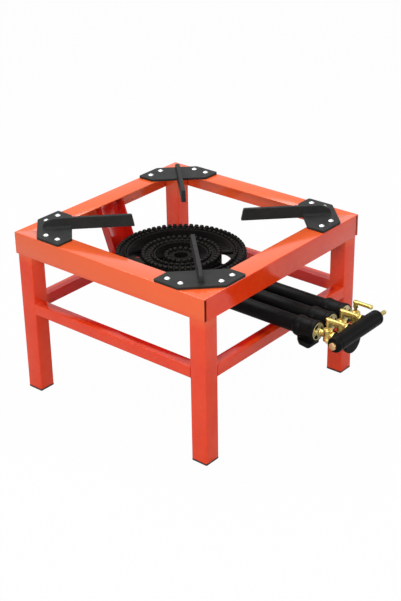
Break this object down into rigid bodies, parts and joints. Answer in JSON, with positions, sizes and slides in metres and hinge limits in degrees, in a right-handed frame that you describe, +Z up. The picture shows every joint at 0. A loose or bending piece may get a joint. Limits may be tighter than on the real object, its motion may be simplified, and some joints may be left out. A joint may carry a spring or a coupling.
{
  "type": "stock pot range",
  "caption": "Low square gas stand with a round cast multi-ring burner, corner pot supports and one gas cock and air shutter for each ring.",
  "frame": {"origin": "on the floor, at the centre of the square formed by the four feet", "axes": "+Z up; -Y is the front, where the gas pipe and the cocks stand out; +X is to the right of someone facing the cocks, the side of the hose tail"},
  "size_m": [0.4, 0.5455, 0.3105],
  "materials": {
    "red_paint": "gloss",
    "foot_plastic": "matte",
    "black_paint": "satin",
    "rivet_aluminium": "satin",
    "cast_iron": "rough",
    "zinc_steel": "satin",
    "brass": "satin",
    "yellow_zinc": "satin"
  },
  "bodies": {
    "stand": {"rail_front": "red_paint", "rail_rear": "red_paint", "rail_left": "red_paint", "rail_right": "red_paint", "leg_fl": "red_paint", "leg_fr": "red_paint", "leg_rl": "red_paint", "leg_rr": "red_paint", "foot_cap_fl": "foot_plastic", "foot_cap_fr": "foot_plastic", "foot_cap_rl": "foot_plastic", "foot_cap_rr": "foot_plastic", "stretcher_front": "red_paint", "stretcher_rear": "red_paint", "stretcher_left": "red_paint", "stretcher_right": "red_paint", "trivet_fl": "black_paint", "trivet_fr": "black_paint", "trivet_rl": "black_paint", "trivet_rr": "black_paint", "trivet_rivets": "rivet_aluminium", "burner_base": "cast_iron", "ring_outer": "cast_iron", "ring_middle": "cast_iron", "ring_inner": "cast_iron", "burner_bracket": "red_paint", "bracket_bolt": "zinc_steel", "foot_bolt": "zinc_steel", "carrier_bolt": "zinc_steel", "manifold": "black_paint", "manifold_plug": "brass", "hose_barb": "brass", "cock_body_1": "brass", "jet_1": "brass", "cock_body_2": "brass", "jet_2": "brass", "cock_body_3": "brass", "jet_3": "brass"},
    "gas_key_1": {"cock_plug_1": "brass", "lever_1": "brass", "cock_nut_1": "brass"},
    "shutter_1": {"air_shutter_1": "yellow_zinc"},
    "gas_key_2": {"cock_plug_2": "brass", "lever_2": "brass", "cock_nut_2": "brass"},
    "shutter_2": {"air_shutter_2": "yellow_zinc"},
    "gas_key_3": {"cock_plug_3": "brass", "lever_3": "brass", "cock_nut_3": "brass"},
    "shutter_3": {"air_shutter_3": "yellow_zinc"}
  },
  "joints": [
    {"name": "gas_key_turn_1", "type": "hinge", "parent": "stand", "child": "gas_key_1", "pos_m": [-0.037, -0.307, 0.199], "axis": [0, 0, 1], "range_deg": [0, 90]},
    {"name": "air_shutter_turn_1", "type": "hinge", "parent": "stand", "child": "shutter_1", "pos_m": [-0.037, -0.289, 0.199], "axis": [0, 1, 0], "range_deg": [0, 60]},
    {"name": "gas_key_turn_2", "type": "hinge", "parent": "stand", "child": "gas_key_2", "pos_m": [0, -0.307, 0.199], "axis": [0, 0, 1], "range_deg": [0, 90]},
    {"name": "air_shutter_turn_2", "type": "hinge", "parent": "stand", "child": "shutter_2", "pos_m": [0, -0.289, 0.199], "axis": [0, 1, 0], "range_deg": [0, 60]},
    {"name": "gas_key_turn_3", "type": "hinge", "parent": "stand", "child": "gas_key_3", "pos_m": [0.037, -0.307, 0.199], "axis": [0, 0, 1], "range_deg": [0, 90]},
    {"name": "air_shutter_turn_3", "type": "hinge", "parent": "stand", "child": "shutter_3", "pos_m": [0.037, -0.289, 0.199], "axis": [0, 1, 0], "range_deg": [0, 60]}
  ]
}
